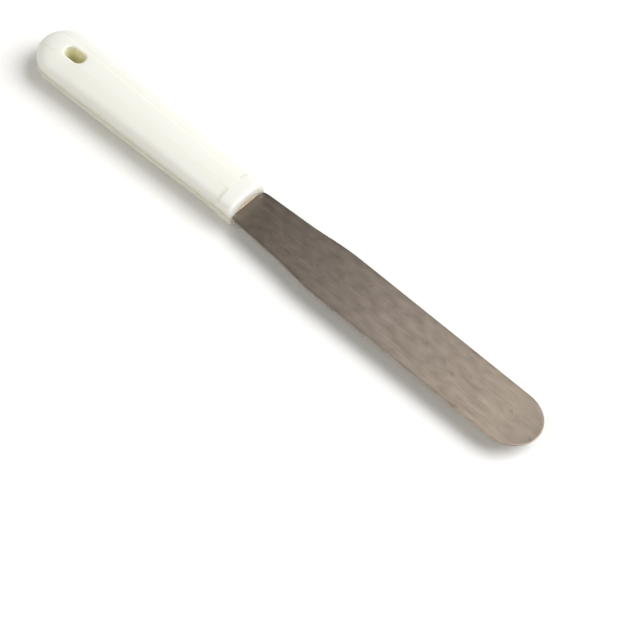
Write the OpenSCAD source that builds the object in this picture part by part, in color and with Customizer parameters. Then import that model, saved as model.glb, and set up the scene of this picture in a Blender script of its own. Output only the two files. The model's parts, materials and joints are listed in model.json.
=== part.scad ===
// Flexible spatula-type putty knife: a thin spring-steel blade in a two-part moulded handle.
// X runs from the handle to the blade's tip and Z is up, square to the blade.
// The origin is on the surface that the knife lies on, under the middle of its length.

/* [Blade] */
// Length of blade outside the handle
blade_len = 166; // [156:1:180]
// Width of the parallel part of the blade
blade_w = 27; // [25:0.5:30]
// Thickness of the spring steel
blade_t = 0.8; // [0.7:0.1:1]
// Width of the blade just past its shoulders
waist_w = 19.8; // [19:0.2:21]
// Length of the rounded end, from full width to the tip
tip_len = 16; // [13.5:0.5:18]

/* [Tang] */
// Length of tang inside the handle
tang_len = 58; // [50:1:62]
// Width of the tang at the handle's mouth
tang_w = 13.6; // [12:0.2:14]
// Radius of each pin that holds the tang
pin_r = 2; // [1.5:0.1:2.2]
// Length of each pin
pin_len = 13; // [11:0.5:14]

/* [Handle] */
// Length of the handle
handle_len = 124; // [118:1:134]
// Thickness of the handle at its belly
handle_t = 18.6; // [17.6:0.2:20]
// Width of the handle at its butt, over the bead
butt_w = 27; // [25:0.2:28]
// Width of the grip where it meets the collar
neck_w = 21; // [20.4:0.2:21.6]
// Width of the collar
collar_w = 21.6; // [21.6:0.2:23]
// Length of the collar
collar_len = 8; // [7:0.5:12]
// Thickness of the collar
collar_t = 16; // [15.6:0.2:17]
// Depth of the side rolls below the middle panel
roll_drop = 0.7; // [0.4:0.1:1]
// How far the bead along the parting line stands out
bead_out = 0.45; // [0.3:0.05:0.6]

/* [Hang hole] */
// Length of the hang hole
hole_len = 11; // [9:0.5:12]
// Width of the hang hole
hole_w = 6; // [5.5:0.5:7]
// Distance from the butt end to the hole's middle
hole_inset = 19.5; // [17:0.5:21]

/* [Hidden] */
$fn = 64;

ivory = [0.93, 0.92, 0.84];
tan_resin = [0.76, 0.70, 0.58];
steel = [0.56, 0.53, 0.49];

// Places along X, and the height of the blade's middle plane
face_x = (handle_len - blade_len) / 2;
butt_x = face_x - handle_len;
hole_x = butt_x + hole_inset;
neck_x = face_x - collar_len;
belly_share = 0.6;
belly_flat_share = 0.28;
belly_x = face_x - belly_share * handle_len;
belly_flat = belly_flat_share * handle_len;
mid_z = handle_t / 2;
gap = 0.05;
cut_past = 1;

// The handle's half-section: corner radii, and heights above the middle plane
half_t = handle_t / 2;
roll_r = 6;
butt_roll_r = 6.5;
collar_r = 6;
front_round = 1.2;
front_mid = 0.3;
butt_thinner = 0.9;
butt_half_t = half_t - butt_thinner;
neck_half_t = collar_t / 2;
bead_h = 0.8;
butt_r = butt_w / 2;
butt_cx = butt_x + butt_r;
slab = 0.2;

// The middle panel widens from the collar to the butt, and laps into the collar
panel_front_w = 7.4;
panel_rear_w = 9.4;
panel_lap = 1;

// The lens-shaped mouth that the tang goes in by
mouth_w = 15.2;
mouth_h = 7.6;
core_beyond = 4;
core_len = tang_len + core_beyond;
core_side_cut = 0.75;
core_w = mouth_w - 2 * core_side_cut;
core_recess = 0.35;
pins_back = [18, 44];
pin_spots = [for (back = pins_back) face_x - back];
peg_r = 2;
peg_h = 4;
peg_root = 2;
socket_gap = 0.3;
pegs_back = [74, 92];
peg_spots = [for (back = pegs_back) face_x - back];

// The blade bends at these distances from the handle, each about a line across it
bends = [13, 35, 59, 85, 113];
shoulder_len = 3.5;
shoulder_drop = 1.2;
shoulder_gap = 0.3;
waist_slope = 0.055;
flare_start = 28;
flare_end = 55;
knuckle_gap = 0.05;
tang_end_w = 10;
tang_lap = 1;

function ease(s) = let (k = min(1, max(0, s))) k * k * (3 - 2 * k);

// Half-width of the blade at x from the handle's face
function waist_half(x) = waist_w / 2 + waist_slope * x;
function flare(x) = waist_half(x)
    + (blade_w / 2 - waist_half(x)) * ease((x - flare_start) / (flare_end - flare_start));
function shoulder(x) = x >= shoulder_len ? 0
    : shoulder_drop * (1 - sqrt(1 - pow(1 - x / shoulder_len, 2)));
function half_width(x) = flare(x) - shoulder(x);

// The outline's stations: close at the shoulders, wider along the flare
close_step = 0.5;
wide_step = 3;
stations = concat([for (x = [0:close_step:shoulder_len]) x],
    [for (x = [2 * wide_step:wide_step:flare_end]) x]);
flare_points = [for (x = stations) [x + (x == 0 ? shoulder_gap : 0), half_width(x)]];
tip_turn = 6;
tip_points = [for (a = [0:tip_turn:90])
    [blade_len - tip_len + tip_len * sin(a), blade_w / 2 * cos(a)]];
upper_edge = concat(flare_points, tip_points);
lower_edge = [for (i = [len(upper_edge) - 2:-1:0]) [upper_edge[i][0], -upper_edge[i][1]]];

// ---- Handle ----

// Corner rods and a base strip at one station of a half-section, for a hull
module half_station(x, w, h, r) {
    for (side = [-1, 1])
        translate([x, side * (w / 2 - r), h - r])
            rotate([0, 90, 0]) cylinder(r = r, h = slab, center = true, $fn = 40);
    translate([x - slab / 2, -w / 2, 0]) cube([slab, w, slab]);
}

// Round butt end of a half-section, with a rolled edge
module butt_end(r, h, edge) {
    translate([butt_cx, 0, 0]) rotate_extrude($fn = 56) union() {
        square([r - edge, h]);
        square([r, h - edge]);
        translate([r - edge, h - edge]) intersection() {
            circle(r = edge, $fn = 40);
            square([edge, edge]);
        }
    }
}

// Grip with its side rolls, lower than the middle panel by roll_drop
module grip_rolls() {
    hull() {
        butt_end(butt_r - bead_out, butt_half_t - roll_drop, butt_roll_r);
        for (dx = [-1, 1])
            half_station(belly_x + dx * belly_flat / 2,
                neck_w + (butt_w - 2 * bead_out - neck_w)
                    * (neck_x - belly_x - dx * belly_flat / 2) / (neck_x - butt_cx),
                half_t - roll_drop, roll_r);
        half_station(neck_x, neck_w, neck_half_t - roll_drop, roll_r);
    }
}

// Side view of the middle panel: flat under the belly, easing down to the collar and butt
module panel_side() {
    polygon([[neck_x + panel_lap, 0], [neck_x + panel_lap, neck_half_t], [neck_x, neck_half_t],
             [belly_x + belly_flat / 2, half_t], [belly_x - belly_flat / 2, half_t],
             [butt_cx, butt_half_t], [butt_cx, 0]]);
}

module panel() {
    intersection() {
        union() {
            translate([0, butt_w, 0]) rotate([90, 0, 0]) linear_extrude(2 * butt_w)
                panel_side();
            butt_end(butt_r, butt_half_t, butt_roll_r);
        }
        linear_extrude(half_t) polygon([
            [neck_x + panel_lap, panel_front_w / 2], [butt_x, panel_rear_w / 2],
            [butt_x, -panel_rear_w / 2], [neck_x + panel_lap, -panel_front_w / 2]]);
    }
}

module collar() {
    hull() {
        half_station(neck_x, collar_w, collar_t / 2, collar_r);
        half_station(face_x - front_round, collar_w, collar_t / 2, collar_r);
        half_station(face_x - front_round * front_mid, collar_w - 2 * front_round * front_mid,
            collar_t / 2 - front_round * front_mid, collar_r);
        half_station(face_x - slab / 2, collar_w - 2 * front_round,
            collar_t / 2 - front_round, collar_r);
    }
}

// Bead that runs round the handle at the parting line
module bead() {
    hull() {
        translate([butt_cx, 0, 0]) cylinder(r = butt_r, h = bead_h, $fn = 56);
        translate([neck_x, -neck_w / 2 - bead_out, 0])
            cube([slab, neck_w + 2 * bead_out, bead_h]);
    }
    translate([neck_x, -collar_w / 2 - bead_out / 2, 0])
        cube([collar_len - front_round, collar_w + bead_out, bead_h]);
}

module mouth(w, h, length) {
    r = (pow(w / 2, 2) + pow(h / 2, 2)) / h;
    translate([face_x - length, 0, 0]) rotate([0, 90, 0]) intersection() {
        translate([r - h / 2, 0, 0]) cylinder(r = r, h = length);
        translate([h / 2 - r, 0, 0]) cylinder(r = r, h = length);
    }
}

module hang_hole() {
    shift = (hole_len - hole_w) / 2;
    translate([hole_x, 0, -handle_t]) {
        for (dx = [-shift, shift])
            translate([dx, 0, 0]) cylinder(r = hole_w / 2, h = 2 * handle_t);
        translate([-shift, -hole_w / 2, 0]) cube([2 * shift, hole_w, 2 * handle_t]);
    }
}

// One half of the handle, above the middle plane, with the core's channel and the pins' sockets
module handle_half() {
    difference() {
        union() {
            grip_rolls();
            panel();
            collar();
            bead();
        }
        translate([butt_x - cut_past, -butt_w, -handle_t])
            cube([handle_len + 2 * cut_past, 2 * butt_w, handle_t + gap / 2]);
        translate([cut_past, 0, 0]) mouth(mouth_w, mouth_h, core_len + cut_past + gap);
        hang_hole();
        for (x = pin_spots)
            translate([x, 0, 0]) cylinder(r = pin_r + gap / 2, h = pin_len / 2 + gap);
    }
}

module upper_handle() {
    color(ivory) translate([0, 0, mid_z]) difference() {
        handle_half();
        for (x = peg_spots)
            translate([x, 0, -cut_past])
                cylinder(r = peg_r + gap, h = cut_past + peg_h + socket_gap);
    }
}

module lower_handle() {
    color(ivory) translate([0, 0, mid_z]) {
        mirror([0, 0, 1]) handle_half();
        for (x = peg_spots)
            translate([x, 0, -peg_root]) cylinder(r = peg_r, h = peg_root + peg_h);
    }
}

// ---- Tang's hold ----

module tang_core() {
    color(tan_resin) translate([0, 0, mid_z]) difference() {
        intersection() {
            mouth(mouth_w - 2 * gap, mouth_h - 2 * gap, core_len);
            translate([face_x - core_len, -core_w / 2, -mouth_h])
                cube([core_len - core_recess, core_w, 2 * mouth_h]);
        }
        translate([face_x, 0, 0]) linear_extrude(blade_t + 2 * gap, center = true)
            tang_outline(gap);
        for (x = pin_spots)
            translate([x, 0, -mouth_h]) cylinder(r = pin_r + gap / 2, h = 2 * mouth_h);
    }
}

module tang_pins() {
    color("silver") for (x = pin_spots)
        translate([x, 0, mid_z - pin_len / 2]) cylinder(r = pin_r, h = pin_len);
}

module tang_outline(grow) {
    end_r = tang_end_w / 2;
    translate([-tang_len + end_r, 0]) circle(r = end_r + grow);
    front = shoulder_gap + tang_lap;
    polygon([[front, tang_w / 2 + grow], [-tang_len + end_r, end_r + grow],
             [-tang_len + end_r, -end_r - grow], [front, -tang_w / 2 - grow]]);
}

// ---- Blade ----
// One strip of spring steel. It is cut at the bends so that it can flex: each piece starts
// with a round nose, which turns in a round scoop at the end of the piece before.

module blade_profile(from, to, has_nose) {
    difference() {
        union() {
            translate([from, -blade_t / 2]) square([to - from, blade_t]);
            if (has_nose) translate([from, 0]) circle(r = blade_t / 2, $fn = 32);
        }
        if (to < blade_len) translate([to, 0]) circle(r = blade_t / 2 + knuckle_gap, $fn = 32);
    }
}

module blade_piece(from, to, has_nose) {
    translate([face_x, 0, mid_z]) intersection() {
        linear_extrude(2 * blade_t, center = true) polygon(concat(upper_edge, lower_edge));
        translate([0, blade_w, 0]) rotate([90, 0, 0]) linear_extrude(2 * blade_w)
            blade_profile(from, to, has_nose);
    }
}

module blade_root() {
    color(steel) {
        blade_piece(0, bends[0], false);
        translate([face_x, 0, mid_z]) difference() {
            linear_extrude(blade_t, center = true) tang_outline(0);
            for (x = pin_spots)
                translate([x - face_x, 0, -blade_t])
                    cylinder(r = pin_r + gap / 2, h = 2 * blade_t);
        }
    }
}

module blade_heel() { color(steel) blade_piece(bends[0], bends[1], true); }
module blade_waist() { color(steel) blade_piece(bends[1], bends[2], true); }
module blade_belly() { color(steel) blade_piece(bends[2], bends[3], true); }
module blade_fore() { color(steel) blade_piece(bends[3], bends[4], true); }
module blade_tip() { color(steel) blade_piece(bends[4], blade_len, true); }

upper_handle();
lower_handle();
tang_core();
tang_pins();
blade_root();
blade_heel();
blade_waist();
blade_belly();
blade_fore();
blade_tip();
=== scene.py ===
"""Looks of the flexible putty knife: moulded ivory handle halves, tan resin, brushed spring-steel blade.

The frame is the CAD's: +X from the handle to the blade's tip, +Z up. Shapes are worked out in millimetres
and turned into metres as each mesh is made.
"""

import json
import math

import bmesh
import bpy
import numpy as np
from mathutils import Matrix, Vector


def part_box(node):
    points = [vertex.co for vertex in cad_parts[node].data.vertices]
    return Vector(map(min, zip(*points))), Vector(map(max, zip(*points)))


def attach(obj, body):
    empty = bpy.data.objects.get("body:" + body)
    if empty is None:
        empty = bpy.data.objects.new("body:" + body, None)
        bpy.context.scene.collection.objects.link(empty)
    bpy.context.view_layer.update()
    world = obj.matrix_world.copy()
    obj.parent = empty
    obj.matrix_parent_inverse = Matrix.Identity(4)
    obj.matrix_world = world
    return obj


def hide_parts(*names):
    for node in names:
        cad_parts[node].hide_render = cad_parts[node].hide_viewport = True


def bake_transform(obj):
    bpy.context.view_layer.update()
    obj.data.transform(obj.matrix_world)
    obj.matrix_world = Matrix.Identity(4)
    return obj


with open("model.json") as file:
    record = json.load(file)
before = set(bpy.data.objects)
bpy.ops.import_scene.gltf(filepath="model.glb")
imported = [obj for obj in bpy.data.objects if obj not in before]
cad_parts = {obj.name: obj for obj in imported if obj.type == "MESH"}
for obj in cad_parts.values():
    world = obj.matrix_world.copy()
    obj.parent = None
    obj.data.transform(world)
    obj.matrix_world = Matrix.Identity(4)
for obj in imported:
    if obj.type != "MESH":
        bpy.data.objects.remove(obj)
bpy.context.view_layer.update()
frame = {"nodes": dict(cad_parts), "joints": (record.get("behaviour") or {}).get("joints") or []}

MM = 0.001
TINY = 1e-6

# ---- Places taken from the frame, in millimetres ----
handle_low, handle_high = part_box("upper_handle")
blade_low, blade_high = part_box("blade_tip")
tip_x = blade_high.x / MM
face_x = handle_high.x / MM
butt_x = handle_low.x / MM
handle_len = face_x - butt_x
blade_len = tip_x - face_x
half_t = handle_high.z / MM / 2
mid_z = half_t
butt_r = handle_high.y / MM
blade_half = blade_high.y / MM
blade_t = (blade_high.z - blade_low.z) / MM
bends = [joint["pos_m"][0] / MM - face_x for joint in frame["joints"]]

# ---- Handle, in millimetres ----
# u runs from the butt end towards the blade, y across, and z up from the parting plane.
BEAD_OUT = 0.45  # how far the bead along the parting line stands out
ROLL_R = butt_r - BEAD_OUT  # radius of the butt above the bead
NECK_HALF = 10.5  # half-width of the grip where it meets the collar
TAPER_SOFT = 8.0  # length over which the grip's taper starts
GRIP_N = 2.3  # how square the grip's section is: 2 is an ellipse
BUTT_T = half_t - 0.9  # depth of a half at the butt
BELLY = (0.26, 0.54)  # where the grip is deepest, as shares of its length
WALL = 1.3  # height at which the rolls start to round over
ROLL_DROP = 0.3  # how far the side rolls lie below the middle panel
PANEL_REAR = 4.7  # half-width of the middle panel at the butt
PANEL_FRONT = 3.7  # and at the collar
PANEL_STEP = 1.3  # width of the step at its edge
PANEL_FADE = 3.2  # height over which the panel fades in above the bead
GROOVE = (0.5, 0.5, 0.05)  # crease beside the panel: how far out, its width and its depth
COLLAR_HALF = 10.8  # half-width of the collar
COLLAR_LEN = 8.0
COLLAR_T = 8.0  # depth of a half at the collar
COLLAR_N = 3.0  # how square the collar's section is
COLLAR_STEP = 2.0  # length of the step up to the collar
COLLAR_BEAD = 0.55  # what is left of the bead along the collar
FRONT_ROUND = 1.5  # radius of the collar's front edge
HOLE_U = 19.5  # the hang hole's middle, from the butt end
HOLE_R = 3.0
HOLE_STRAIGHT = 2.5  # half the length of the hole's straight sides
RIM = 0.95  # radius of the hole's rim
SEAM = 0.02  # half the gap between the two halves
neck_u = handle_len - COLLAR_LEN

# The lens-shaped mouth, which is seen to a depth of 4 mm
MOUTH_HALF = 7.6
MOUTH_TOP = 3.8
MOUTH_RIM = 0.35
MOUTH_DEPTH = 4.0
lens_r = (MOUTH_HALF ** 2 + MOUTH_TOP ** 2) / (2 * MOUTH_TOP)

# How deep in a recess each place counts as, for the painted shade in the plastic's colour: 0 is in the
# open, 1 is deepest
GROOVE_MARK = 0.12
BEAD_MARK = 0.35
COLLAR_MARK = 0.5
RIM_MARK = 0.25
FACE_MARK = 0.1

# The bead at the parting line: how far out and how high each of its points is
BEAD_POINTS = [(0.30, SEAM), (0.41, 0.10), (0.45, 0.24), (0.45, 0.46), (0.43, 0.60), (0.37, 0.71),
               (0.27, 0.78), (0.16, 0.82), (0.07, 0.88), (0.02, 0.98), (0.0, 1.12)]
BEAD_CREASE = 0.75  # height at which the crease above the bead starts
BEAD_CREASE_RUN = 1 / 6

# The front face: how far each ring stands outside the mouth, how far back it lies, and its mark
FACE_RINGS = [(1.6, 0.0, FACE_MARK), (MOUTH_RIM, 0.0, FACE_MARK), (MOUTH_RIM * 0.5, 0.05, FACE_MARK),
              (MOUTH_RIM * 0.15, 0.18, FACE_MARK), (0.0, MOUTH_RIM, 1.0), (0.0, 2.0, 1.0),
              (0.0, MOUTH_DEPTH, 1.0)]

# Spokes run from the outline in to the hang hole's rim, or to the middle line beyond it.
BUTT_STEPS = 26  # round the butt to the hole's rear end
SIDE_STEPS, SIDE_RUN = 5, 3.5  # along the hole's straight side
FORE_STEPS, FORE_RUN = 14, 7.5  # round its front end
HOLE_SPOKES = BUTT_STEPS + 1 + SIDE_STEPS + FORE_STEPS
GRIP_GAP, GRIP_END = 1.1, 1.6  # spacing along the grip, and where it ends before the collar
LEAN_RUN = 16.0  # length over which the spokes turn square to the handle
STEP_GAP, STEP_REACH, STEP_COUNT = 0.15, 0.9, 13  # close spacing over the collar's step
COLLAR_GAP, COLLAR_START, COLLAR_COUNT = 0.75, 1.0, 9
MOUTH_GAP, MOUTH_COUNT = 0.6, 5
FRONT_TURN = 10  # degrees between stations round the front edge
LEAST_GAP = 0.05

# Points of a spoke: over the roll, across the panel's edge, and over the panel
OUTER_STEPS, BAND_STEPS, INNER_STEPS = 22, 8, 10
BAND = 1.3  # half-width of the close spacing across the panel's edge
CROSS_STEPS = 60
CROSS_LEAST, CROSS_LOW, CROSS_HIGH = 0.02, 0.015, 0.97
HIGH_SHARE, LOW_SHARE = 0.975, 0.01
RIM_STEPS = 8


def ease(s):
    """0 below 0, 1 above 1, smooth between."""
    k = min(1.0, max(0.0, s))
    return k * k * (3 - 2 * k)


def between(a, b, k):
    """The point at share k of the way from plan point a to plan point b."""
    return a[0] + (b[0] - a[0]) * k, a[1] + (b[1] - a[1]) * k


def roll_half(u):
    """Half-width of the grip over its side rolls."""
    if u <= butt_r:
        return ROLL_R
    slope = (ROLL_R - NECK_HALF) / (neck_u - butt_r)
    return ROLL_R - slope * (math.hypot(u - butt_r, TAPER_SOFT) - TAPER_SOFT)


def half_depth(u):
    """Depth from the parting plane to the middle panel: fullest under the palm."""
    rear, front = (share * handle_len for share in BELLY)
    if u < rear:
        return BUTT_T + (half_t - BUTT_T) * ease((u - butt_r) / (rear - butt_r))
    return half_t - (half_t - COLLAR_T) * ease((u - front) / (neck_u - front))


def panel_half(u):
    """Half-width of the middle panel."""
    return PANEL_REAR + (PANEL_FRONT - PANEL_REAR) * min(1.0, u / neck_u)


def outline_share(u, y):
    """How far out a plan point lies, from 0 on the middle line to 1 on the rolls' outline."""
    if u < butt_r:
        return math.hypot(u - butt_r, y) / ROLL_R
    return abs(y) / roll_half(u)


def grip_point(u, y):
    """Point of the upper surface over plan point (u, y), with its recess mark."""
    depth = half_depth(u) - ROLL_DROP - WALL
    share = min(1.0, outline_share(u, y))
    rise = (1 - share ** GRIP_N) ** (1 / GRIP_N)
    z = WALL + depth * rise
    # the panel stands out and the crease goes in along the surface's normal
    width = ROLL_R if u < butt_r else roll_half(u)
    n_out = share ** (GRIP_N - 1) / width
    n_up = rise ** (GRIP_N - 1) / depth
    size = math.hypot(n_out, n_up)
    inset = panel_half(u) - abs(y)
    fade = ease((z - WALL) / PANEL_FADE)
    groove_out, groove_w, groove_depth = GROOVE
    groove = math.exp(-((inset + groove_out) / groove_w) ** 2) * fade
    out = ROLL_DROP * ease(inset / PANEL_STEP + 0.5) * fade - groove_depth * groove
    if u < butt_r and share > 0:
        away = ((u - butt_r) / (share * ROLL_R), y / (share * ROLL_R))
    else:
        away = (0.0, math.copysign(1.0, y) if y else 0.0)
    step = out * n_out / size
    return (u + step * away[0], y + step * away[1], z + out * n_up / size, GROOVE_MARK * groove)


def collar_point(share, inset):
    """Point (y, z) of the collar's section at a share of its width, drawn in by inset."""
    half, top = COLLAR_HALF - inset, COLLAR_T - inset
    z = WALL + (top - WALL) * (1 - share ** COLLAR_N) ** (1 / COLLAR_N)
    return -half * share, z


def spoke_shares(share_in, cross):
    """Shares at which a spoke is sampled: close at the wall and across the panel's edge."""
    high, low = min(HIGH_SHARE, cross[0]), max(share_in + LOW_SHARE, cross[1])
    turn = math.acos(high ** (GRIP_N / 2))
    outer = [math.cos(turn * i / OUTER_STEPS) ** (2 / GRIP_N) for i in range(OUTER_STEPS)]
    band = [high + (low - high) * i / BAND_STEPS for i in range(BAND_STEPS)]
    inner = [low + (share_in - low) * i / INNER_STEPS for i in range(INNER_STEPS + 1)]
    return outer + band + inner


def hole_spokes():
    """Spokes that end on the hang hole's rim; an outer y of None is on the outline."""
    hole_r = HOLE_R + RIM
    rear, front = HOLE_U - HOLE_STRAIGHT, HOLE_U + HOLE_STRAIGHT
    found = []
    for i in range(BUTT_STEPS + 1):
        a = math.radians(90 * i / BUTT_STEPS)
        found.append(((butt_r - ROLL_R * math.cos(a), -ROLL_R * math.sin(a)),
                      (rear - hole_r * math.cos(a), -hole_r * math.sin(a))))
    for i in range(1, SIDE_STEPS + 1):
        k = i / SIDE_STEPS
        found.append(((butt_r + SIDE_RUN * k, None), (rear + (front - rear) * k, -hole_r)))
    for i in range(1, FORE_STEPS + 1):
        k = i / FORE_STEPS
        a = math.radians(90 * (1 - k))
        found.append(((butt_r + SIDE_RUN + FORE_RUN * k, None),
                      (front + hole_r * math.cos(a), -hole_r * math.sin(a))))
    return found


def spokes():
    """Each spoke's outer and inner plan points, from the butt end round and along to the face."""
    found = hole_spokes()
    start_out, start_in = butt_r + (SIDE_RUN + FORE_RUN), HOLE_U + HOLE_STRAIGHT + (HOLE_R + RIM)
    u = start_out
    while u < neck_u - GRIP_END:
        u += GRIP_GAP
        lean = (start_out - start_in) * (1 - ease((u - start_out) / LEAN_RUN))
        found.append(((u, None), (u - lean, 0.0)))
    rest = [neck_u - STEP_REACH + STEP_GAP * i for i in range(STEP_COUNT)]
    rest += [neck_u + COLLAR_START + COLLAR_GAP * i for i in range(1, COLLAR_COUNT + 1)]
    rest += [handle_len - MOUTH_DEPTH + MOUTH_GAP * i for i in range(MOUTH_COUNT)]
    rest += [handle_len - FRONT_ROUND * (1 - math.sin(math.radians(a)))
             for a in range(0, 90 + 1, FRONT_TURN)]
    for u in sorted(set(round(v, 4) for v in rest)):
        if u > found[-1][0][0] + LEAST_GAP:
            found.append(((u, None), (u, 0.0)))
    return [((u, -roll_half(u) if y is None else y), inner) for (u, y), inner in found]


def crossing(outer, inner):
    """Shares between which the panel's edge crosses a spoke, the outer one first."""
    edge = CROSS_LEAST
    for i in range(CROSS_STEPS + 1):
        u, y = between(outer, inner, i / CROSS_STEPS)
        if abs(y) <= panel_half(u):
            edge = i / CROSS_STEPS or CROSS_LEAST
            break
    half = BAND / math.hypot(inner[0] - outer[0], inner[1] - outer[1])
    return [outline_share(*between(outer, inner, min(CROSS_HIGH, max(CROSS_LOW, k))))
            for k in (edge - half, edge + half)]


def spoke_points(outer, inner):
    """Points of one spoke with their marks, from the seam over the bead and the roll to its inner end."""
    u, y = outer
    collar = ease((u - neck_u) / COLLAR_STEP + 0.5)
    run = max(0.0, u - (handle_len - FRONT_ROUND))
    inset = FRONT_ROUND - math.sqrt(max(0.0, FRONT_ROUND ** 2 - run ** 2))
    edge = -y + (COLLAR_HALF - inset + y) * collar
    away = ((u - butt_r) / ROLL_R, y / ROLL_R) if u < butt_r else (0.0, -1.0)
    points = []
    for out, z in BEAD_POINTS:
        out *= 1 - (1 - COLLAR_BEAD) * collar
        mark = BEAD_MARK * ease((z - BEAD_CREASE) / BEAD_CREASE_RUN)
        points.append((u + out * away[0], -edge + out * away[1], z, mark))
    share_in = outline_share(*inner)
    for share in spoke_shares(share_in, crossing(outer, inner)):
        pu, py = between(outer, inner, (1 - share) / (1 - share_in))
        point = grip_point(pu, py)
        if collar > 0:
            cy, cz = collar_point(abs(py) / roll_half(pu), inset)
            mark = point[3] * (1 - collar) + COLLAR_MARK * collar * (1 - collar)
            point = (point[0], point[1] + (cy - point[1]) * collar,
                     point[2] + (cz - point[2]) * collar, mark)
        points.append(point)
    return points


class Mesh:
    """Points and faces gathered in code, then made into one object."""

    def __init__(self):
        self.points, self.faces, self.marks = [], [], []

    def add(self, point, mark=0.0):
        self.points.append(point)
        self.marks.append(mark)
        return len(self.points) - 1

    def join(self, rows):
        """Faces between each row of points and the next; points that coincide are left out."""
        for first, second in zip(rows, rows[1:]):
            for i in range(len(first) - 1):
                face = [first[i], first[i + 1], second[i + 1], second[i]]
                face = [v for n, v in enumerate(face) if v not in face[:n]]
                if len(face) > 2:
                    self.faces.append(face)

    def build(self, name, merge, crease):
        """An object with points closer than merge joined and edges sharper than crease left sharp."""
        mesh = bpy.data.meshes.new(name)
        mesh.from_pydata(self.points, [], self.faces)
        # the marks carry the painted shade of the recesses into the plastic's colour
        mark = mesh.attributes.new("recess", "FLOAT", "POINT")
        mark.data.foreach_set("value", np.array(self.marks, np.float32))
        obj = bpy.data.objects.new(name, mesh)
        bpy.context.scene.collection.objects.link(obj)
        bm = bmesh.new()
        bm.from_mesh(mesh)
        bmesh.ops.remove_doubles(bm, verts=bm.verts, dist=merge)
        bmesh.ops.dissolve_degenerate(bm, edges=bm.edges, dist=merge / 2)
        bmesh.ops.recalc_face_normals(bm, faces=bm.faces)
        for edge in bm.edges:
            if len(edge.link_faces) == 2 and edge.calc_face_angle(0) > crease:
                edge.smooth = False
        bm.to_mesh(mesh)
        bm.free()
        for face in mesh.polygons:
            face.use_smooth = True
        return obj


def hole_wall(end, start, put):
    """From a spoke's end over the hang hole's rounded rim and down its wall to the parting plane."""
    u, y = end
    centre = min(max(u, HOLE_U - HOLE_STRAIGHT), HOLE_U + HOLE_STRAIGHT)
    size = math.hypot(u - centre, y)
    dx, dy = (u - centre) / size, y / size
    top = grip_point(u, y)[2]
    wall = [start]
    for step in range(1, RIM_STEPS + 1):
        k = step / RIM_STEPS
        a = math.radians(90 * k)
        r = HOLE_R + RIM * (1 - math.sin(a))
        wall.append(put((centre + dx * r, dy * r, top - RIM * (1 - math.cos(a))), RIM_MARK * k))
    for step in range(1, RIM_STEPS + 1):
        k = step / RIM_STEPS
        z = (top - RIM) * (1 - k) + SEAM * k
        wall.append(put((centre + dx * HOLE_R, dy * HOLE_R, z), RIM_MARK + (1 - RIM_MARK) * k))
    return wall


def lens_point(k, grow):
    """Point (y, z) of the mouth's outline, from its corner at k = 0 to its top at k = 1."""
    a = math.asin(MOUTH_HALF / lens_r) * (1 - k)
    r = lens_r + grow
    z = max(SEAM, r * math.cos(a) - (lens_r - MOUTH_TOP))
    return -r * math.sin(a), z if k > 0 else SEAM


def front_rings(outline, edge, put):
    """Rings from the collar's front edge over the flat face to the mouth, and back along its wall."""
    run = [0.0]
    for p, q in zip(outline, outline[1:]):
        run.append(run[-1] + math.hypot(q[1] - p[1], q[2] - p[2]))
    rings = [edge]
    for grow, back, mark in FACE_RINGS:
        rings.append([put((handle_len - back, *lens_point(distance / run[-1], grow)), mark)
                      for distance in run])
    return rings


def parting_face(mesh, lines, rows, walls, rings, put):
    """The flat face at the parting plane, which closes the solid round the hole and the mouth."""
    back = next(n for n, (outer, _) in enumerate(lines)
                if outer[0] >= handle_len - MOUTH_DEPTH - LEAST_GAP / 5)
    middle = [wall[-1] for wall in walls]
    middle += [put((inner[0], 0.0, SEAM)) for _, inner in lines[HOLE_SPOKES:back + 1]]
    for n in range(back):
        mesh.faces.append([rows[n][0], rows[n + 1][0], middle[n + 1], middle[n]])
    mesh.faces.append([rows[back][0], rings[-1][0], middle[back]])
    mesh.faces.append(rings[-1] + [middle[back]])
    mesh.faces.append([row[0] for row in rows[back:]] + [ring[0] for ring in rings[1:]])


def handle_half(name, up):
    """One half of the handle as a closed solid: up is 1 for the upper half, -1 for the lower."""
    mesh = Mesh()
    lines = spokes()
    for side in (1, -1):
        def put(point, mark=0.0):
            return mesh.add(((butt_x + point[0]) * MM, side * point[1] * MM,
                             (mid_z + up * point[2]) * MM), mark)
        rows = [[put(p, p[3]) for p in spoke_points(*line)] for line in lines]
        mesh.join(rows)
        walls = [hole_wall(line[1], row[-1], put) for line, row in zip(lines[:HOLE_SPOKES], rows)]
        mesh.join(walls)
        rings = front_rings(spoke_points(*lines[-1]), rows[-1], put)
        mesh.join(rings)
        parting_face(mesh, lines, rows, walls, rings, put)
    return mesh.build(name, merge=2e-6, crease=math.radians(50))


# ---- Blade, in millimetres: x runs from the handle's face to the tip ----
WAIST_HALF = 9.9  # half-width just past the shoulders
WAIST_SLOPE = 0.055
FLARE = (28.0, 55.0)  # where the blade widens
SHOULDER_LEN = 3.5
SHOULDER_DROP = 1.2
SHOULDER_X = 0.3  # gap between the shoulders and the handle's face
TIP_LEN = 16.0
THIN_AT_TIP = 0.2  # how much thinner the blade is at its tip
THIN_START, THIN_RUN = 60.0, 90.0
# Rounding of the blade's edges: how far in, and what share of the half-thickness
EDGE_ROUND = [(0.26, 1.0), (0.14, 0.9), (0.05, 0.68), (0.0, 0.3)]
SHOULDER_GAP, SHOULDER_COUNT = 0.5, 7  # outline stations at the shoulders
BLADE_START, BLADE_GAP = 4.5, 1.5  # outline stations along the blade
TIP_TURN = 3  # degrees between stations round the tip
ACROSS = 16  # faces across the flat of the blade

TANG_HALF = 6.8
TANG_END_HALF = 5.0
TANG_LEN = 58.0
TANG_TURN = 12  # degrees between points round the tang's end
PIN_R = 2.0
PIN_CLEAR = 0.03
PIN_SPOTS = (-18.0, -44.0)
HOLE_TURN = 10  # degrees between points round a pin's hole


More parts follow.
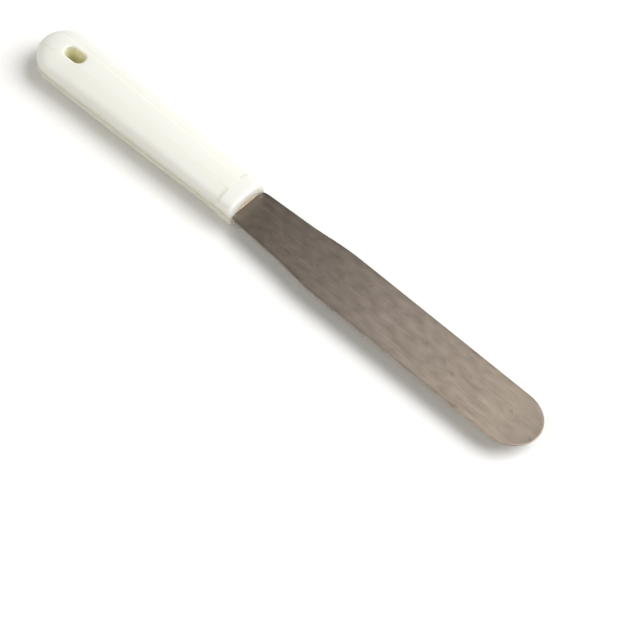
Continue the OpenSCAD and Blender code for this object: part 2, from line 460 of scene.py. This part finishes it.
def blade_edge(x):
    """Half-width of the blade short of its rounded tip."""
    waist = WAIST_HALF + WAIST_SLOPE * x
    half = waist + (blade_half - waist) * ease((x - FLARE[0]) / (FLARE[1] - FLARE[0]))
    if x < SHOULDER_LEN:
        half -= SHOULDER_DROP * (1 - math.sqrt(1 - (1 - x / SHOULDER_LEN) ** 2))
    return half


def middles():
    """Where the blade's visual pieces meet: half-way between bends, where it stays straight."""
    return [(a + b) / 2 for a, b in zip(bends, bends[1:])]


def blade_stations():
    """Outline points (x, half-width) from the shoulder to the tip."""
    full = blade_len - TIP_LEN
    count = round((full - BLADE_START) / BLADE_GAP)
    xs = [SHOULDER_X] + [SHOULDER_GAP * (i + 1) for i in range(SHOULDER_COUNT)]
    xs += [BLADE_START + BLADE_GAP * i for i in range(count)] + middles()
    points = [(x, blade_edge(x)) for x in sorted(set(xs))]
    for turn in range(0, 90 + 1, TIP_TURN):
        a = math.radians(turn)
        points.append((full + TIP_LEN * math.sin(a), blade_half * math.cos(a)))
    return points


def outline_normals(points):
    """Outward normal at each outline point."""
    normals = []
    for before, after in zip(points[:1] + points, points[1:] + points[-1:]):
        dx, dy = after[0] - before[0], after[1] - before[1]
        size = math.hypot(dx, dy)
        normals.append((-dy / size, dx / size))
    normals[-1] = (1.0, 0.0)
    return normals


def blade_ring(x, half, normal, flush):
    """Closed section of the blade at x: flush keeps its rounded edges in one plane."""
    t = blade_t / 2 - THIN_AT_TIP / 2 * ease((x - THIN_START) / THIN_RUN)
    edge = [(x if flush else x - normal[0] * inset, max(0.0, half - normal[1] * inset), share * t)
            for inset, share in EDGE_ROUND]
    flat_x, flat_y, _ = edge[0]
    flat = [flat_y * (1 - 2 * i / ACROSS) for i in range(1, ACROSS)]
    ring = edge[::-1] + [(flat_x, y, t) for y in flat]
    ring += [(px, -y, z) for px, y, z in edge] + [(px, -y, -z) for px, y, z in edge[::-1]]
    return ring + [(flat_x, -y, -t) for y in flat] + [(px, y, -z) for px, y, z in edge]


def blade_piece(name, start, end):
    """The blade from start to end, with its edges rounded, closed at both cuts."""
    stations = blade_stations()
    mesh = Mesh()
    rings = []
    for (x, half), normal in zip(stations, outline_normals(stations)):
        if x < start - TINY or x > end + TINY:
            continue
        flush = x < blade_len - 1 and min(abs(x - start), abs(x - end)) < TINY
        rings.append([mesh.add(((face_x + px) * MM, y * MM, (mid_z + z) * MM))
                      for px, y, z in blade_ring(x, half, normal, flush)])
    mesh.join([ring + ring[:1] for ring in rings])
    mesh.faces.append(rings[0])
    mesh.faces.append(rings[-1][::-1])
    obj = mesh.build(name, merge=1e-6, crease=math.radians(60))
    lay_flat_map(obj)
    return obj


def lay_flat_map(obj):
    """A map in metres, as seen from above, that stays with the steel when it bends."""
    layer = obj.data.uv_layers.new(name="flat")
    for loop in obj.data.loops:
        co = obj.data.vertices[loop.vertex_index].co
        layer.data[loop.index].uv = (co.x, co.y)


def tang_loops():
    """The tang's outline, then its pin holes, as plan points."""
    loop = [(SHOULDER_X, TANG_HALF)]
    for turn in range(0, 180 + 1, TANG_TURN):
        a = math.radians(turn)
        loop.append((-TANG_LEN + TANG_END_HALF * (1 - math.sin(a)), TANG_END_HALF * math.cos(a)))
    loop.append((SHOULDER_X, -TANG_HALF))
    loops = [loop]
    for x in PIN_SPOTS:
        r = PIN_R + PIN_CLEAR
        loops.append([(x + r * math.cos(math.radians(turn)), r * math.sin(math.radians(turn)))
                      for turn in range(0, 360, HOLE_TURN)])
    return loops


def plate(name, loops, thickness, z):
    """A flat plate from an outline and the holes in it, in millimetres."""
    curve = bpy.data.curves.new(name, "CURVE")
    curve.dimensions = "2D"
    curve.fill_mode = "BOTH"
    curve.extrude = thickness / 2 * MM
    for loop in loops:
        spline = curve.splines.new("POLY")
        spline.points.add(len(loop) - 1)
        for point, (x, y) in zip(spline.points, loop):
            point.co = ((face_x + x) * MM, y * MM, 0, 1)
        spline.use_cyclic_u = True
    holder = bpy.data.objects.new(name, curve)
    bpy.context.scene.collection.objects.link(holder)
    bpy.context.view_layer.update()
    depsgraph = bpy.context.evaluated_depsgraph_get()
    flat = bpy.data.meshes.new_from_object(holder.evaluated_get(depsgraph))
    bpy.data.objects.remove(holder)
    flat.transform(Matrix.Translation((0, 0, z * MM)))
    obj = bpy.data.objects.new(name, flat)
    bpy.context.scene.collection.objects.link(obj)
    lay_flat_map(obj)
    return obj


# The resin in the mouth, in millimetres
PLUG_BACK = 0.12  # how far its front lies behind the handle's face
PLUG_DEPTH = MOUTH_DEPTH - 0.3
PLUG_GAP = 0.32  # gap to the mouth's wall
PLUG_HALF = 6.85
PLUG_CLEAR = 0.03  # gap to the blade
PLUG_THIN = 0.04  # its least thickness
PLUG_DIP, DIP_TURN, DIP_SHIFT = 0.05, 1.9, 0.6  # uneven top: depth, and waves in radians per mm
PLUG_RIPPLE, RIPPLE_TURN, RIPPLE_SLOW = 0.07, 1.3, 0.7  # uneven front
PLUG_ACROSS, PLUG_ALONG = 36, 5


def resin_plug(name):
    """Resin above and below the tang, as two closed bodies with a slightly uneven front."""
    mesh = Mesh()
    low = blade_t / 2 + PLUG_CLEAR
    for up in (1, -1):
        sections = []
        for i in range(PLUG_ALONG):
            section = []
            for across in range(PLUG_ACROSS + 1):
                y = PLUG_HALF * (2 * across / PLUG_ACROSS - 1)
                top = math.sqrt(lens_r ** 2 - y ** 2) - (lens_r - MOUTH_TOP) - PLUG_GAP
                top -= PLUG_DIP * math.sin(DIP_TURN * y + DIP_SHIFT * up) ** 2
                top = max(low + PLUG_THIN, top)
                ripple = PLUG_RIPPLE * math.sin(RIPPLE_TURN * y + up) * math.cos(RIPPLE_SLOW * y)
                x = face_x - PLUG_BACK + ripple - PLUG_DEPTH * i / (PLUG_ALONG - 1)
                section.append([mesh.add((x * MM, y * MM, (mid_z + up * z) * MM)) for z in (low, top)])
            sections.append(section)
        for layer in (0, 1):
            mesh.join([[pair[layer] for pair in section] for section in sections])
        for end in (0, -1):
            mesh.join([section[end] for section in sections])
            mesh.join([[pair[layer] for pair in sections[end]] for layer in (0, 1)])
    return mesh.build(name, merge=1e-6, crease=math.radians(40))


# ---- Materials ----

def nodes_for(name):
    """A new material, its links, its main shader, and a short way to make nodes in it."""
    material = bpy.data.materials.new(name)
    material.use_nodes = True
    tree = material.node_tree

    def make(kind, **values):
        node = tree.nodes.new(kind)
        for key, value in values.items():
            if key in node.inputs:
                node.inputs[key].default_value = value
            else:
                setattr(node, key, value)
        return node
    return material, tree.links, tree.nodes["Principled BSDF"], make


def ramp(make, links, source, stops):
    """Colour or grey that changes with source: each stop is its place and its value."""
    node = make("ShaderNodeValToRGB")
    while len(node.color_ramp.elements) < len(stops):
        node.color_ramp.elements.new(0.5)
    for element, (place, colour) in zip(node.color_ramp.elements, stops):
        element.position = place
        element.color = (*colour, 1) if len(colour) == 3 else (colour[0],) * 3 + (1,)
    links.new(source, node.inputs["Fac"])
    return node.outputs["Color"]


def mixed(make, links, kind, factor, first, second):
    """Two colours mixed: the factor and each colour are values or sockets."""
    node = make("ShaderNodeMix", data_type="RGBA", blend_type=kind)
    if isinstance(factor, (int, float)):
        node.inputs[0].default_value = factor
    else:
        links.new(factor, node.inputs[0])
    for socket, value in ((node.inputs[6], first), (node.inputs[7], second)):
        if isinstance(value, tuple):
            socket.default_value = (*value, 1)
        else:
            links.new(value, socket)
    return node.outputs[2]


def noise(make, links, place, scale, detail, roughness=0.5, stretch=None, turn=0.0):
    """Noise over place, which is stretched and turned about Z first where stretch is given."""
    if stretch:
        mapping = make("ShaderNodeMapping", Scale=stretch, Rotation=(0, 0, turn))
        links.new(place, mapping.inputs["Vector"])
        place = mapping.outputs["Vector"]
    node = make("ShaderNodeTexNoise", Scale=scale, Detail=detail, Roughness=roughness)
    links.new(place, node.inputs["Vector"])
    return node.outputs["Fac"]


def spread(make, links, source, low, high):
    """Source, from 0 to 1, spread between low and high."""
    node = make("ShaderNodeMapRange")
    node.inputs["To Min"].default_value = low
    node.inputs["To Max"].default_value = high
    links.new(source, node.inputs["Value"])
    return node.outputs["Result"]


def share_along(make, links, place, axis, start, end):
    """How far place lies from start to end, in millimetres along axis, as 0 to 1."""
    apart = make("ShaderNodeSeparateXYZ")
    links.new(place, apart.inputs["Vector"])
    node = make("ShaderNodeMapRange")
    node.inputs["From Min"].default_value = start * MM
    node.inputs["From Max"].default_value = end * MM
    links.new(apart.outputs[axis], node.inputs["Value"])
    return node.outputs["Result"]


def bump(make, links, height, strength, distance, under=None, invert=False):
    """A normal from height, laid over another bump where under is given."""
    node = make("ShaderNodeBump", Strength=strength, Distance=distance, invert=invert)
    links.new(height, node.inputs["Height"])
    if under is not None:
        links.new(under, node.inputs["Normal"])
    return node.outputs["Normal"]


def ivory_plastic():
    """Milky ivory moulding, finely scuffed, with painted shade: a beige band along its lower sides and
    yellow in its recesses, where the translucent plastic falls in shade.
    """
    material, links, shader, make = nodes_for("ivory_plastic")
    place = make("ShaderNodeTexCoord").outputs["Object"]
    cloud = noise(make, links, place, 1.0, 1.0, 0.4, stretch=(12, 60, 60))
    base = ramp(make, links, cloud, [(0.2, (0.775, 0.772, 0.728)), (0.8, (0.79, 0.788, 0.75))])
    height = share_along(make, links, place, "Z", 0.0, 2 * half_t)
    # painted shade: a beige band round the parting line, strongest just below it, where the sides fall in
    # shade
    painted_side_shade = ramp(make, links, height,
                 [(0.0, (0.15,)), (0.22, (0.35,)), (0.44, (0.75,)), (0.53, (0.5,)), (0.70, (0.0,))])
    base = mixed(make, links, "MIX", painted_side_shade, base, (0.60, 0.555, 0.40))
    # painted shade: the plastic turns yellow in its creases, bead groove, collar step, hang hole and
    # mouth, where shade falls in the translucent plastic
    recess = make("ShaderNodeAttribute", attribute_name="recess").outputs["Fac"]
    base = mixed(make, links, "MIX", recess, base, (1.0, 0.96, 0.62))
    links.new(base, shader.inputs["Base Color"])
    shader.inputs["Subsurface Weight"].default_value = 0.55
    shader.inputs["Subsurface Radius"].default_value = (1.0, 0.94, 0.78)
    shader.inputs["Subsurface Scale"].default_value = 0.005
    shader.inputs["IOR"].default_value = 1.5
    gloss = noise(make, links, place, 160.0, 2.0)
    links.new(spread(make, links, gloss, 0.29, 0.37), shader.inputs["Roughness"])
    # orange peel, with fine scuffs along the handle over it
    peel = noise(make, links, place, 700.0, 2.0)
    scuff = noise(make, links, place, 1.0, 3.0, stretch=(90, 2600, 2600), turn=0.05)
    lines = ramp(make, links, scuff, [(0.66, (0.0,)), (0.80, (1.0,))])
    fine = bump(make, links, peel, 0.03, 0.0001)
    normal = bump(make, links, lines, 0.04, 0.00002, under=fine, invert=True)
    links.new(normal, shader.inputs["Normal"])
    return material


def spring_steel():
    """Brushed strip: fine lengthwise grain, smudges, stains and pits, with a painted reflection: darker by
    the handle, lighter out along the blade.
    """
    material, links, shader, make = nodes_for("spring_steel")
    flat = make("ShaderNodeUVMap", uv_map="flat").outputs["UV"]

    def streaks(along, across, detail, turn=0.0):
        return noise(make, links, flat, 1.0, detail, 0.6, stretch=(along, across, 1), turn=turn)

    grain = streaks(60, 4200, 6.0)
    broad = streaks(22, 900, 4.0)
    smudge = streaks(150, 330, 6.0, turn=0.4)
    blot = streaks(120, 210, 8.0, turn=0.7)
    fine = streaks(420, 520, 4.0)
    # painted reflection: the steel's colour brightens from the handle out along the blade, as the room's
    # reflection does
    painted_reflection_share = share_along(make, links, flat, "X", face_x, tip_x)
    base = ramp(make, links, painted_reflection_share,
                [(0.0, (0.165, 0.138, 0.113)), (0.08, (0.20, 0.168, 0.140)), (0.3, (0.27, 0.226, 0.190)),
                 (0.5, (0.36, 0.302, 0.257)), (0.9, (0.435, 0.362, 0.293)), (1.0, (0.345, 0.291, 0.240))])
    base = mixed(make, links, "OVERLAY", 0.18, base,
                 ramp(make, links, broad, [(0.3, (0.35,)), (0.7, (0.65,))]))
    base = mixed(make, links, "OVERLAY", 0.20, base,
                 ramp(make, links, smudge, [(0.35, (0.38,)), (0.65, (0.60,))]))
    stain = ramp(make, links, blot, [(0.61, (0.0,)), (0.70, (1.0,))])
    base = mixed(make, links, "MULTIPLY", stain, base, (0.80, 0.79, 0.78))
    base = mixed(make, links, "OVERLAY", 0.14, base,
                 ramp(make, links, grain, [(0.25, (0.2,)), (0.75, (0.8,))]))
    spots = make("ShaderNodeTexVoronoi", Scale=260.0)
    links.new(flat, spots.inputs["Vector"])
    pits = ramp(make, links, spots.outputs["Distance"], [(0.03, (1.0,)), (0.06, (0.0,))])
    chance = ramp(make, links, fine, [(0.56, (0.0,)), (0.62, (1.0,))])
    pits = mixed(make, links, "MULTIPLY", 1.0, pits, chance)
    base = mixed(make, links, "MIX", pits, base, (0.16, 0.12, 0.09))
    links.new(base, shader.inputs["Base Color"])
    shader.inputs["Metallic"].default_value = 1.0
    shader.inputs["Anisotropic"].default_value = 0.55
    links.new(spread(make, links, smudge, 0.30, 0.46), shader.inputs["Roughness"])
    tangent = make("ShaderNodeTangent", direction_type="UV_MAP", uv_map="flat")
    links.new(tangent.outputs["Tangent"], shader.inputs["Tangent"])
    brushed = bump(make, links, grain, 0.18, 0.00006)
    normal = bump(make, links, pits, 0.3, 0.00004, under=brushed, invert=True)
    links.new(normal, shader.inputs["Normal"])
    return material


def tan_resin():
    """Dull potting resin that fills the mouth."""
    material, links, shader, make = nodes_for("tan_resin")
    place = make("ShaderNodeTexCoord").outputs["Object"]
    lump = noise(make, links, place, 500.0, 6.0, 0.65)
    base = ramp(make, links, lump, [(0.3, (0.60, 0.52, 0.40)), (0.7, (0.78, 0.71, 0.58))])
    links.new(base, shader.inputs["Base Color"])
    shader.inputs["Roughness"].default_value = 0.62
    links.new(bump(make, links, lump, 0.5, 0.0003), shader.inputs["Normal"])
    return material


def pin_wire():
    """Plain drawn wire, seen only when the handle is opened."""
    material, links, shader, make = nodes_for("pin_wire")
    place = make("ShaderNodeTexCoord").outputs["Object"]
    drawn = noise(make, links, place, 800.0, 3.0)
    base = ramp(make, links, drawn, [(0.3, (0.50, 0.50, 0.49)), (0.7, (0.68, 0.68, 0.67))])
    links.new(base, shader.inputs["Base Color"])
    shader.inputs["Metallic"].default_value = 1.0
    shader.inputs["Roughness"].default_value = 0.35
    return material


def floor_paper():
    """White backdrop paper."""
    material, links, shader, make = nodes_for("floor_paper")
    place = make("ShaderNodeTexCoord").outputs["Object"]
    tooth = noise(make, links, place, 300.0, 3.0)
    base = ramp(make, links, tooth, [(0.2, (0.88, 0.88, 0.88)), (0.8, (0.90, 0.90, 0.90))])
    links.new(base, shader.inputs["Base Color"])
    shader.inputs["Roughness"].default_value = 0.9
    return material


# ---- Pieces ----
ivory, steel = ivory_plastic(), spring_steel()

for name, up, node in (("upper_shell", 1, "upper_handle"), ("lower_shell", -1, "lower_handle")):
    shell = handle_half(name, up)
    shell.data.materials.append(ivory)
    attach(shell, "handle")
    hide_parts(node)

# Each visual piece of the blade holds one joint, is cut half-way between bends, and hides the CAD parts it
# stands for
BLEND_START = 1.0
stand_for = [["blade_root"], ["blade_heel"], ["blade_waist"], ["blade_belly"], ["blade_fore", "blade_tip"]]
cuts = [SHOULDER_X] + middles() + [blade_len]
starts = [BLEND_START] + middles()
ends = middles() + [(bends[-1] + blade_len) / 2]
for i in range(len(bends)):
    piece = blade_piece(f"blade_bend_{i + 1}", cuts[i], cuts[i + 1])
    piece.data.materials.append(steel)
    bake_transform(piece)
    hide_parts(*stand_for[i])

tang = plate("blade_tang", tang_loops(), blade_t, mid_z)
tang.data.materials.append(steel)
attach(tang, "handle")

plug = resin_plug("mouth_resin")
plug.data.materials.append(tan_resin())
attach(plug, "handle")
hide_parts("tang_core")

pins = frame["nodes"]["tang_pins"].data.materials
pins.clear()
pins.append(pin_wire())

# ---- Floor, light and camera, in metres ----
FLOOR_HALF = 3.0
FLOOR_Z = -0.0002

paper = bpy.data.meshes.new("floor")
paper.from_pydata([(x * FLOOR_HALF, y * FLOOR_HALF, 0) for x, y in ((-1, -1), (1, -1), (1, 1), (-1, 1))],
                  [], [(0, 1, 2, 3)])
paper.materials.append(floor_paper())
floor = bpy.data.objects.new("floor", paper)
floor.location.z = FLOOR_Z
bpy.context.scene.collection.objects.link(floor)

# The room's colour at two heights: near the horizon, and from half-way up to overhead
SKY = ((0.1, (0.66, 0.64, 0.56)), (0.75, (0.16, 0.16, 0.16)))
LIGHT_DISTANCE = 2.5
# Each light's direction in degrees round and up, its side, its power in watts and its colour
LIGHTS = {"key": (128, 52, 2.0, 77, (1, 1, 1)), "fill": (-30, 50, 1.6, 16, (1, 0.98, 0.92))}

# The camera: its direction and roll in degrees, its distance, the width it sees at the knife, and how far
# it is moved across and up the picture
VIEW_AZ, VIEW_EL, VIEW_ROLL = 41.25, 56.91, 2.87
VIEW_DISTANCE = 1.6
VIEW_WIDTH = 0.27292
VIEW_RIGHT, VIEW_UP = 0.01606, -0.03174
SENSOR = 36  # the sensor's width, in millimetres


def light_room():
    """A grey room, lighter towards the horizon."""
    world = bpy.data.worlds.new("studio")
    bpy.context.scene.world = world
    world.use_nodes = True
    tree = world.node_tree
    upward = tree.nodes.new("ShaderNodeSeparateXYZ")
    tree.links.new(tree.nodes.new("ShaderNodeTexCoord").outputs["Generated"], upward.inputs["Vector"])
    shade = tree.nodes.new("ShaderNodeValToRGB")
    tree.links.new(upward.outputs["Z"], shade.inputs["Fac"])
    for stop, (place, colour) in zip(shade.color_ramp.elements, SKY):
        stop.position, stop.color = place, (*colour, 1)
    tree.links.new(shade.outputs["Color"], tree.nodes["Background"].inputs["Color"])


def view_axes(az, el):
    """The right, up and back directions of something that looks at the origin from az and el."""
    az, el = math.radians(az), math.radians(el)
    back = Vector((math.sin(az) * math.cos(el), -math.cos(az) * math.cos(el), math.sin(el)))
    right = Vector((math.cos(az), math.sin(az), 0))
    return right, back.cross(right), back


def soft_light(name, az, el, side, watts, colour):
    """A square area light that shines on the origin."""
    right, up, back = view_axes(az, el)
    lamp = bpy.data.lights.new(name, "AREA")
    lamp.shape = "SQUARE"
    lamp.size = side
    lamp.energy = watts
    lamp.color = colour
    obj = bpy.data.objects.new(name, lamp)
    bpy.context.scene.collection.objects.link(obj)
    obj.matrix_world = Matrix((right, up, back)).transposed().to_4x4()
    obj.location = back * LIGHT_DISTANCE


def set_camera():
    """The camera at the photograph's angle."""
    right, up, back = view_axes(VIEW_AZ, VIEW_EL)
    roll = math.radians(VIEW_ROLL)
    right, up = (right * math.cos(roll) + up * math.sin(roll),
                 up * math.cos(roll) - right * math.sin(roll))
    optics = bpy.data.cameras.new("camera")
    optics.sensor_width = SENSOR
    optics.lens = SENSOR * VIEW_DISTANCE / VIEW_WIDTH
    camera = bpy.data.objects.new("camera", optics)
    bpy.context.scene.collection.objects.link(camera)
    camera.matrix_world = Matrix((right, up, back)).transposed().to_4x4()
    camera.location = back * VIEW_DISTANCE + right * VIEW_RIGHT + up * VIEW_UP
    bpy.context.scene.camera = camera


light_room()
for name, values in LIGHTS.items():
    soft_light(name, *values)
set_camera()
bpy.context.scene.view_settings.view_transform = "Standard"
